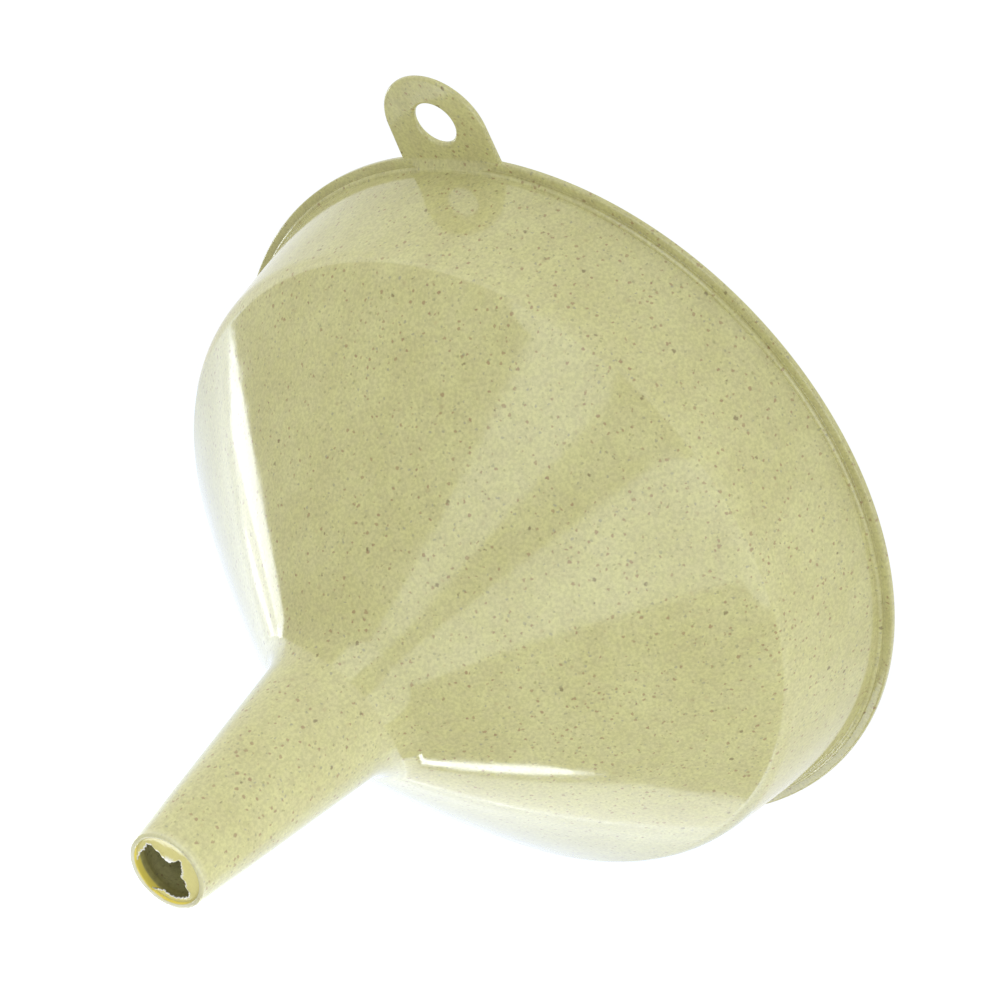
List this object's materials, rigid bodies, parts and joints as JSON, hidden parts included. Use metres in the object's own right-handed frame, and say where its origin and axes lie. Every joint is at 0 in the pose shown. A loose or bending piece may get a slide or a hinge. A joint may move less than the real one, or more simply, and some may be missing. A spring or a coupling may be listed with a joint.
{
  "type": "funnel",
  "caption": "Small one-piece plastic hand funnel: beaded rim with a flat hanging tab, short collar, wide cone and a tapered spout with a torn gate film in its end.",
  "frame": {"origin": "on the resting plane, under the middle of the bounding box; the funnel's own axis is 6.9 mm towards -X from it, because the tab adds length on +X", "axes": "+Z from the mouth to the spout's tip, so the funnel stands mouth down; +X from the funnel's axis to the hanging tab"},
  "size_m": [0.1288, 0.115, 0.0912],
  "materials": {
    "straw_plastic": "glossy, pale olive, with fine brown and grey flecks"
  },
  "bodies": {
    "root": {"rim": "straw_plastic", "hanging_tab": "straw_plastic", "bowl_collar": "straw_plastic", "bowl_cone": "straw_plastic", "spout": "straw_plastic", "gate_film": "straw_plastic"}
  },
  "joints": []
}
